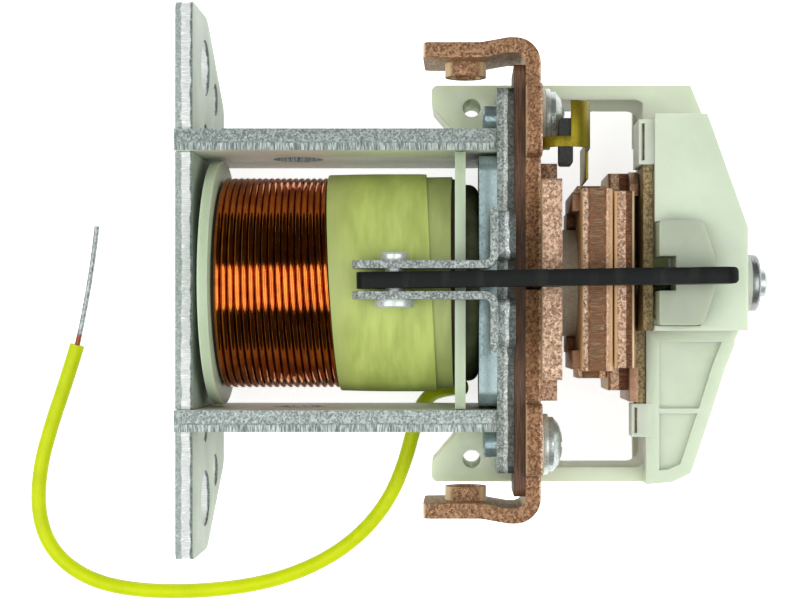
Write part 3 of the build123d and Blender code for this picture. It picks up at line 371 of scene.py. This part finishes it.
def satin_black():
    """Blackened sheet with a fine tooth and paler rubbed patches."""
    n = Nodes("satin_black")
    place = n.place()
    fine = n.noise(0.35 * MM, place, detail=4.0, rough=0.65)
    band = n.noise(3.2 * MM, n.stretch(place, (1.0, 0.25, 0.25)), detail=4.0, rough=0.6)
    n.set(Base_Color=n.mix(n.span(band, 0.52, 0.66), (0.005, 0.007, 0.006), (0.012, 0.014, 0.011)), Metallic=0.1,
          Roughness=n.span(fine, 0.3, 0.7, 0.34, 0.5), Specular_IOR_Level=0.165,
          Normal=n.bump(fine, 0.05 * MM, 0.6))
    return n.material


def lead_insulation():
    """Glossy yellow-green insulation, slightly cloudy."""
    n = Nodes("lead_insulation")
    cloud = n.noise(5.0 * MM, detail=4.0)
    fine = n.noise(0.5 * MM, detail=3.0)
    n.set(Base_Color=n.mix(n.span(cloud, 0.3, 0.7), (0.56, 0.66, 0.001), (0.49, 0.59, 0.001)),
          Roughness=n.span(fine, 0.3, 0.7, 0.26, 0.38), Specular_IOR_Level=0.16, Subsurface_Weight=0.2,
          Subsurface_Radius=(1.0, 1.0, 0.1), Subsurface_Scale=0.8 * MM, Normal=n.bump(fine, 0.02 * MM, 0.4))
    return n.material


def tinned_wire():
    """Tin over copper, bare copper next to the insulation."""
    n = Nodes("tinned_wire")
    y = n.split(n.place())[1]
    mark = n.noise(0.5 * MM, detail=4.0, rough=0.7)
    tin = n.mix(n.span(mark, 0.35, 0.65), (0.20, 0.23, 0.23), (0.60, 0.64, 0.63))
    tinned = n.span(y, *(at * MM for at in COPPER_TO_TIN_Y))
    n.set(Base_Color=n.mix(tinned, (0.30, 0.09, 0.05), tin), Metallic=0.8,
          Roughness=n.span(mark, 0.3, 0.7, 0.3, 0.5), Normal=n.bump(mark, 0.08 * MM, 0.7))
    return n.material


def rubber(name, color):
    """Dull rubber or lacquer with a faint tooth; also the near-black painted shade of the winding's core."""
    n = Nodes(name)
    fine = n.noise(0.4 * MM, detail=4.0)
    n.set(Base_Color=n.mix(n.span(n.noise(3.0 * MM), 0.3, 0.7), color, tuple(0.6 * c for c in color)),
          Roughness=n.span(fine, 0.3, 0.7, 0.5, 0.7), Normal=n.bump(fine, 0.04 * MM, 0.5))
    return n.material


# The yoke bars' face colour is a much lighter copy of ZINC_FACE: painted light on side faces that the lamps barely
# reach.
ZINC_FACE, ZINC_BAR_FACE_PAINTED_LIGHT = (0.42, 0.49, 0.41), (0.78, 0.82, 0.66)
ZINC_DARK, ZINC_MID = (0.10, 0.13, 0.13), (0.30, 0.36, 0.33)
ZINC_PALE, ZINC_WHITE = (0.56, 0.63, 0.60), (0.86, 0.90, 0.90)
COPPER_FACE = (0.80, 0.58, 0.34)
COPPER_DARK, COPPER_MID = (0.105, 0.043, 0.018), (0.23, 0.100, 0.043)
COPPER_PALE, COPPER_BRIGHT = (0.54, 0.295, 0.150), (0.92, 0.66, 0.47)

# Look: material's name, axis and faces in mm, face colour, zones of the cut edge, other settings
SHEETS = {
    "mounting_plate": ("zinc_mounting_plate", ("x", 0.0, 3.0), ZINC_FACE, [
        (0.36, "torn", ZINC_MID, ZINC_PALE), (0.86, "streak", (0.76, 0.82, 0.80), (0.96, 0.97, 0.97)),
        (1.0, "torn", ZINC_DARK, ZINC_MID)], {}),
    "upper_yoke_bar": ("zinc_upper_bar", ("y", 22.2, 25.9), ZINC_BAR_FACE_PAINTED_LIGHT, [
        (0.60, "torn", ZINC_DARK, (0.48, 0.55, 0.52)), (0.66, "plain", ZINC_DARK, ZINC_MID),
        (1.0, "streak", ZINC_DARK, (0.43, 0.49, 0.46))], {"metallic": 0.2, "flip": True, "wave": 0.12}),
    # The lower bar's edge zones are lighter copies of the upper bar's: painted light.
    "lower_yoke_bar": ("zinc_lower_bar", ("y", -25.9, -22.2), ZINC_BAR_FACE_PAINTED_LIGHT, [
        (0.60, "torn", (0.13, 0.165, 0.165), (0.60, 0.68, 0.65)), (0.66, "plain", ZINC_DARK, ZINC_MID),
        (1.0, "streak", (0.12, 0.155, 0.15), (0.53, 0.60, 0.57))], {"metallic": 0.2, "flip": True, "wave": 0.12}),
    # The front plate's last, near-black zone is painted shade on the rounded side of its cut edge.
    "front_plate": ("zinc_front_plate", ("x", 55.2, 58.1), ZINC_FACE, [
        (0.40, "torn", ZINC_DARK, ZINC_PALE), (0.62, "torn", ZINC_MID, ZINC_WHITE),
        (1.0, "plain", (0.05, 0.06, 0.055), (0.13, 0.15, 0.14))], {}),
    "lever_bracket": ("zinc_bracket", ("y", -4.0, 4.0), ZINC_FACE, [
        (1.0, "torn", ZINC_DARK, (0.62, 0.68, 0.64))], {}),
    "terminal": ("copper_terminal", ("x", 60.1, 62.7), COPPER_FACE, [
        (0.14, "torn", COPPER_DARK, (0.60, 0.35, 0.19)), (0.86, "torn", COPPER_DARK, COPPER_PALE),
        (1.0, "torn", COPPER_MID, COPPER_BRIGHT)], {"grain": COARSE_GRAIN}),
    "fixed_contact": ("copper_contact", ("x", 62.7, 66.0), COPPER_FACE, [
        (1.0, "torn", COPPER_MID, COPPER_BRIGHT)], {"grain": CONTACT_GRAIN}),
    "moving_bridge": ("copper_bridge", ("x", 69.5, 74.6), COPPER_FACE, [
        (0.17, "torn", COPPER_DARK, COPPER_BRIGHT), (0.26, "plain", COPPER_DARK, COPPER_MID),
        (0.70, "streak", COPPER_MID, (0.24, 0.15, 0.085)), (0.78, "plain", COPPER_DARK, COPPER_MID),
        (1.0, "torn", COPPER_PALE, COPPER_BRIGHT)], {"grain": COARSE_GRAIN, "wave": 0.1}),
    # Across the second bridge's rounded edge, the bright middle zone is a painted highlight and the dark zones on
    # either side are painted shade of the rounding.
    "second_bridge": ("copper_second", ("x", 74.9, 78.3), COPPER_FACE, [
        (0.12, "plain", COPPER_DARK, COPPER_MID), (0.55, "torn", COPPER_MID, COPPER_BRIGHT),
        (1.0, "streak", COPPER_DARK, COPPER_MID)], {"grain": COARSE_GRAIN, "wave": 0.15}),
}

# Look: colour, colour of its patches, roughness range, metallic
SMOOTH_METALS = {
    "bare_copper": ((0.36, 0.21, 0.125), (0.16, 0.075, 0.04), (0.3, 0.5), 0.6),
    "blue_zinc": ((0.27, 0.36, 0.36), (0.12, 0.17, 0.18), (0.25, 0.42), 0.6),
    "bright_steel": ((0.62, 0.68, 0.65), (0.30, 0.33, 0.32), (0.24, 0.40), 0.5),
    "turned_steel": ((0.36, 0.37, 0.37), (0.18, 0.19, 0.19), (0.25, 0.4), 0.8),
    "leaf_brass": ((0.22, 0.172, 0.004), (0.14, 0.11, 0.003), (0.34, 0.46), 0.7),
}


def build_materials():
    """Every look by name."""
    looks = {look: sheared_metal(name, across, face, zones, **settings)
             for look, (name, across, face, zones, settings) in SHEETS.items()}
    looks.update({name: smooth_metal(name, *values) for name, values in SMOOTH_METALS.items()})
    looks.update({
        "wire": enamelled_wire(),
        "screw_steel": screw_metal(),
        # The core's near-black colour is painted shade between and under the turns.
        "core_painted_shade": rubber("core_painted_shade", (0.030, 0.010, 0.005)),
        "coil_tape": cloth_tape("cloth_tape", (0.45, 0.535, 0.142), (0.33, 0.40, 0.092), (0.32, 0.365, 0.135)),
        "coil_tape_end": cloth_tape("cloth_tape_end", (0.38, 0.435, 0.155), (0.30, 0.35, 0.115),
                                    (0.34, 0.39, 0.155)),
        "bobbin": nylon("bobbin_nylon", (0.40, 0.475, 0.35), (0.38, 0.44, 0.31), (-20, 20), 0.8, scale=3.5 * MM),
        # The housing's low colour is much lighter than its top: painted light standing in for light that comes up
        # through the nylon from below.
        "housing": nylon("housing_nylon", (0.62, 0.71, 0.555), (0.86, 0.92, 0.71), (-12, 4), 0.7, 0.12,
                         scale=2.2 * MM),
        "guide": nylon("guide_nylon", (0.46, 0.52, 0.40), (0.46, 0.55, 0.36), (13, 20), 0.6, 0.25),
        "insulating_plate": laminate("brown_board", (0.042, 0.016, 0.005), (0.125, 0.050, 0.016)),
        "seat_board": laminate("seat_board", (0.095, 0.062, 0.022), (0.42, 0.32, 0.14), 0.8),
        "fibre": laminate("grey_fibre", (0.55, 0.55, 0.46), (0.74, 0.74, 0.64), 0.6),
        "ring_rubber": rubber("ring_rubber", (0.085, 0.105, 0.042)),
        "black_rubber": rubber("black_rubber", (0.010, 0.012, 0.012)),
        "lever": satin_black(),
        "lead": lead_insulation(),
        "conductor": tinned_wire(),
    })
    return looks


MATERIALS = build_materials()

# Node: look, and the width in mm by which its edges are broken, 0 to keep the CAD piece
NODE_LOOKS = {
    "mounting_plate": ("mounting_plate", 0.35), "upper_yoke_bar": ("upper_yoke_bar", 0.35),
    "lower_yoke_bar": ("lower_yoke_bar", 0.35), "front_plate": ("front_plate", 0.3),
    "upper_lever_bracket": ("lever_bracket", 0.2), "lower_lever_bracket": ("lever_bracket", 0.2),
    "upper_terminal": ("terminal", 0.3), "lower_terminal": ("terminal", 0.3),
    "upper_fixed_contact": ("fixed_contact", 0.3), "lower_fixed_contact": ("fixed_contact", 0.3),
    "moving_bridge": ("moving_bridge", 0.2), "second_bridge": ("second_bridge", 0.2),
    "third_bridge": ("bare_copper", 0.03), "bridge_contact_tips": ("bare_copper", 0.15),
    "pole_plate": ("blue_zinc", 0.4), "insulating_plate": ("insulating_plate", 0.15),
    "fixed_core": ("turned_steel", 0.2), "core_spacer": ("turned_steel", 0.2),
    "bobbin": ("bobbin", 0.3), "end_ring": ("ring_rubber", 0.0),
    "screw_sleeves": ("fibre", 0.1), "screw_washers": ("bright_steel", 0.15),
    "terminal_screws": ("screw_steel", 0.15), "leaf_spring": ("leaf_brass", 0.05),
    "spring_buffer": ("black_rubber", 0.0), "plunger": ("turned_steel", 0.15),
    "plunger_rod": ("turned_steel", 0.1), "return_spring": ("turned_steel", 0.0),
    "insulating_bush": ("fibre", 0.2), "retaining_clip": ("turned_steel", 0.1),
    "spring_seat_plate": ("seat_board", 0.1), "guide_disc": ("black_rubber", 0.05),
    "rear_housing": ("housing", 0.3), "hook_guide_block": ("guide", 0.3),
    "catch_collar": ("turned_steel", 0.15), "contact_spring": ("turned_steel", 0.0),
    "guide_screw": ("bright_steel", 0.1), "guide_nut": ("turned_steel", 0.2),
    "lever_pin": ("bright_steel", 0.1), "trip_lever": ("lever", 0.3),
}

BODY_OF = {node: body for body, nodes in frame["record"]["behaviour"]["bodies"].items() for node in nodes}


def put(obj, material, body, smooth_below=SMOOTH_BELOW_DEG):
    """Material, smooth shading and body of one new mesh piece."""
    obj.data.materials.clear()
    obj.data.materials.append(material)
    with bpy.context.temp_override(active_object=obj, object=obj, selected_editable_objects=[obj],
                                   selected_objects=[obj]):
        bpy.ops.object.shade_smooth_by_angle(angle=math.radians(smooth_below))
    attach(obj, body)


def mesh_piece(name, bm):
    """A new object from the mesh under construction, without corner normals kept from an older shape."""
    data = bpy.data.meshes.new(name)
    bm.normal_update()
    bm.to_mesh(data)
    bm.free()
    stale = data.attributes.get("custom_normal")
    if stale is not None:
        data.attributes.remove(stale)
    obj = bpy.data.objects.new(name, data)
    scene.collection.objects.link(obj)
    return obj


def formed(node, width_mm, material):
    """The node's own shape with its edges broken, so that they catch the light. Faces with many corners are cut
    up first, because the bevel folds them over themselves."""
    bm = bmesh.new()
    bm.from_mesh(frame["nodes"][node].data)
    bmesh.ops.remove_doubles(bm, verts=bm.verts, dist=MERGE_WITHIN)
    bmesh.ops.dissolve_limit(bm, angle_limit=math.radians(FLAT_WITHIN_DEG), verts=bm.verts, edges=bm.edges)
    wide = [face for face in bm.faces if len(face.verts) > MOST_CORNERS]
    bmesh.ops.triangulate(bm, faces=wide, quad_method="BEAUTY", ngon_method="BEAUTY")
    piece = mesh_piece(node + "_formed", bm)
    bevel = piece.modifiers.new("edge_break", "BEVEL")
    bevel.width = width_mm * MM
    bevel.segments = BEVEL_SEGMENTS
    bevel.limit_method = "ANGLE"
    bevel.angle_limit = math.radians(BEVEL_FROM_DEG)
    bevel.miter_outer = "MITER_ARC"
    shown = bpy.context.evaluated_depsgraph_get()
    data = bpy.data.meshes.new_from_object(piece.evaluated_get(shown))
    piece.modifiers.clear()
    piece.data = data
    put(piece, material, BODY_OF[node])
    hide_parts(node)


def dress_nodes():
    """Forms each node with broken edges, or gives the CAD piece its material."""
    for node, (look, width_mm) in NODE_LOOKS.items():
        if width_mm > 0:
            formed(node, width_mm, MATERIALS[look])
            continue
        obj = frame["nodes"][node]
        obj.data.materials.clear()
        obj.data.materials.append(MATERIALS[look])


def route_curve(name, route, radius, material):
    """A smooth tube whose control points are the route."""
    data = bpy.data.curves.new(name, "CURVE")
    data.dimensions = "3D"
    data.bevel_depth = radius
    data.bevel_resolution = CURVE_ROUNDNESS
    data.resolution_u = CURVE_STEPS
    data.use_fill_caps = True
    spline = data.splines.new("NURBS")
    spline.points.add(len(route) - 1)
    for point, place in zip(spline.points, route):
        point.co = (*[value * MM for value in place], 1.0)
    spline.order_u = CURVE_ORDER
    spline.use_endpoint_u = True
    obj = bpy.data.objects.new(name, data)
    scene.collection.objects.link(obj)
    data.materials.append(material)
    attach(obj, ROOT)
    return obj


def make_lead():
    """Insulated lead and its bare end, as they lie in the photograph."""
    lead = route_curve("lead", LEAD_ROUTE, LEAD_R, MATERIALS["lead"])
    conductor = route_curve("conductor", CONDUCTOR_ROUTE, CONDUCTOR_R, MATERIALS["conductor"])
    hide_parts("lead_wire")
    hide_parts("lead_conductor")


def skin(bm, rows, closed):
    """Faces between rows of points, each row a loop; closed also joins the last row to the first."""
    for row, following in zip(rows, rows[1:] + rows[:1] if closed else rows[1:]):
        for i in range(len(row)):
            j = (i + 1) % len(row)
            bm.faces.new((row[i], row[j], following[j], following[i]))


def ring_mesh(name, profile_at):
    """A closed ring round the coil; profile_at(angle) gives its (x, radius) section in mm."""
    bm = bmesh.new()
    rows = []
    for step in range(RING_STEPS):
        angle = 2 * math.pi * step / RING_STEPS
        rows.append([bm.verts.new((x * MM, r * MM * math.sin(angle), r * MM * math.cos(angle)))
                     for x, r in profile_at(angle)])
    skin(bm, rows, closed=True)
    bmesh.ops.recalc_face_normals(bm, faces=bm.faces)
    return mesh_piece(name, bm)


def tube_mesh(name, centres, radius):
    """A round wire along the given centres, closed at both ends."""
    bm = bmesh.new()
    rows = []
    for i, centre in enumerate(centres):
        ahead = centres[min(i + 1, len(centres) - 1)] - centres[max(i - 1, 0)]
        out = Vector((0.0, centre.y, centre.z)).normalized()
        side = ahead.cross(out).normalized()
        rows.append([bm.verts.new(centre + radius * (math.cos(a) * out + math.sin(a) * side))
                     for a in (2 * math.pi * k / WIRE_SIDES for k in range(WIRE_SIDES))])
    skin(bm, rows, closed=False)
    bm.faces.new(rows[0])
    bm.faces.new(rows[-1])
    bmesh.ops.recalc_face_normals(bm, faces=bm.faces)
    return mesh_piece(name, bm)


def lean(x, shift, angle):
    """A place in mm along the coil that shifts with the angle round it, by (rise, sway) at most."""
    rise, sway = shift
    return x + rise * math.sin(angle) + sway * math.cos(angle)


def wire_centre(turn):
    """Centre line of the winding's outer layer, which slants more towards the contacts."""
    angle = 2 * math.pi * turn
    share = turn / WIRE_TURNS
    rise = -(FIRST_RISE + MORE_RISE * share)
    x = lean(WIRE_START_X + WIRE_PITCH * turn, (rise, LAST_SWAY * share), angle)
    reach = COIL_R - WIRE_R
    return Vector((x, reach * math.sin(angle), reach * math.cos(angle))) * MM


def make_winding():
    """Bare turns over a core coloured near black as painted shade, which also shows between the tape and the flange.
    The first turn starts out of sight."""
    steps = range(-int(HIDDEN_TURN * STEPS_A_TURN), int(WIRE_TURNS * STEPS_A_TURN) + 1)
    wire = tube_mesh("winding_wire", [wire_centre(step / STEPS_A_TURN) for step in steps], WIRE_R * MM)
    put(wire, MATERIALS["wire"], ROOT, smooth_below=60.0)
    left, right = COIL_ENDS_X
    section = [(left, COIL_INNER_R), (left, BARE_CORE_R), (CORE_STEP_X[0], BARE_CORE_R),
               (CORE_STEP_X[1], TAPED_CORE_R), (right, TAPED_CORE_R), (right, COIL_INNER_R)]
    core = ring_mesh("winding_core", lambda angle: section)
    put(core, MATERIALS["core_painted_shade"], ROOT, smooth_below=30.0)
    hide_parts("copper_winding")


def tape_section(angle):
    """Section of the tape, with slanting edges and a slight bulge; outer holds (x, depth under the tape's top)."""
    left = lean(TAPE_LEFT_X, TAPE_LEFT_LEAN, angle)
    right = lean(TAPE_RIGHT_X, TAPE_RIGHT_LEAN, angle)
    outer = [(left, 0.28), (left + 0.15, 0.17), (left + 5.0, 0.05), (0.5 * (left + right), 0.0), (right - 1.5, 0.0),
             (right - 0.1, 0.02), (right, 0.12), (right, TAPE_INNER_DEPTH), (TAPE_INNER_X[1], TAPE_INNER_DEPTH)]
    return [(x, TAPE_R - depth) for x, depth in outer] + [(TAPE_INNER_X[0], COIL_R), (left, COIL_R + 0.02)]


def end_band_section(angle):
    """Section of the lower band at the tape's right end; outer holds (x, depth under the band's top)."""
    left, right = END_BAND_X[0], lean(END_BAND_X[1], END_BAND_LEAN, angle)
    outer = [(left, 0.1), (right - 0.1, 0.05), (right, 0.15), (right, 0.5), (left, 0.5)]
    return [(x, END_BAND_R - depth) for x, depth in outer]


def make_tape():
    """Cloth tape and its end band, wound round the coil."""
    for node, section in (("coil_tape", tape_section), ("coil_tape_end", end_band_section)):
        piece = ring_mesh(node + "_wound", section)
        put(piece, MATERIALS[node], ROOT, smooth_below=40.0)
        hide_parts(node)


def make_camera():
    """The photograph's camera, which looks down -Z with its picture shifted off the lens's centre."""
    data = bpy.data.cameras.new("view")
    data.sensor_width = SENSOR_MM
    data.lens = SENSOR_MM * FOCAL_PX / IMAGE_W
    data.shift_x = -CENTRE_OFFSET_PX[0] / IMAGE_W
    data.shift_y = CENTRE_OFFSET_PX[1] / IMAGE_W
    data.clip_start = CLIP_START
    obj = bpy.data.objects.new("view", data)
    obj.location = CAMERA_AT
    scene.collection.objects.link(obj)
    scene.camera = obj


def make_lamps():
    """Softboxes that point straight down."""
    for name, x in SOFTBOX_X.items():
        data = bpy.data.lights.new(name, "AREA")
        data.shape = "RECTANGLE"
        data.size, data.size_y = SOFTBOX_SIZE
        data.energy = SOFTBOX_POWER
        obj = bpy.data.objects.new(name, data)
        obj.location = (x, SOFTBOX_Y, SOFTBOX_Z)
        scene.collection.objects.link(obj)


def make_world():
    """White to the camera and through clear plastic, dim in reflections, soft for the rest."""
    world = bpy.data.worlds.new("studio")
    scene.world = world
    world.use_nodes = True
    nodes, links = world.node_tree.nodes, world.node_tree.links
    nodes.clear()

    def white(strength):
        layer = nodes.new("ShaderNodeBackground")
        layer.inputs["Color"].default_value = (1.0, 1.0, 1.0, 1.0)
        layer.inputs["Strength"].default_value = strength
        return layer.outputs[0]

    path = nodes.new("ShaderNodeLightPath")
    shown = white(WORLD_FILL)
    for ray, strength in WORLD_LAYERS:
        mix = nodes.new("ShaderNodeMixShader")
        links.new(path.outputs[ray], mix.inputs[0])
        links.new(shown, mix.inputs[1])
        links.new(white(strength), mix.inputs[2])
        shown = mix.outputs[0]
    links.new(shown, nodes.new("ShaderNodeOutputWorld").inputs["Surface"])


def make_floor():
    """Pale paper that keeps the shadow and is white to the camera, through clear plastic and in reflections."""
    bm = bmesh.new()
    bmesh.ops.create_grid(bm, x_segments=FLOOR_CELLS, y_segments=FLOOR_CELLS, size=FLOOR_SIZE)
    floor = mesh_piece("floor", bm)
    floor.location = (FLOOR_X, 0.0, CAD_BOX[0][2] - FLOOR_GAP)
    n = Nodes("floor_paper")
    n.set(Roughness=PAPER_ROUGH, Base_Color=n.mix(n.noise(3.0 * MM, detail=3.0), PAPER_DARK, PAPER_LIGHT))
    path = n.add("ShaderNodeLightPath")
    seen = n.math("MAXIMUM", path.outputs["Is Camera Ray"], path.outputs["Is Transmission Ray"])
    strength = n.math("MAXIMUM", n.math("MULTIPLY", seen, SEEN_GLOW),
                      n.math("MULTIPLY", path.outputs["Is Glossy Ray"], MIRRORED_GLOW))
    glow = n.add_fed("ShaderNodeEmission", {"Color": (1.0, 1.0, 1.0), "Strength": strength})
    both = n.add("ShaderNodeAddShader")
    n.join(n.shader.outputs["BSDF"], both.inputs[0])
    n.join(glow.outputs[0], both.inputs[1])
    n.join(both.outputs[0], n.output.inputs["Surface"])
    floor.data.materials.append(n.material)


make_camera()
make_lead()
make_winding()
make_tape()
dress_nodes()
make_world()
make_lamps()
make_floor()
scene.view_settings.view_transform = "Standard"
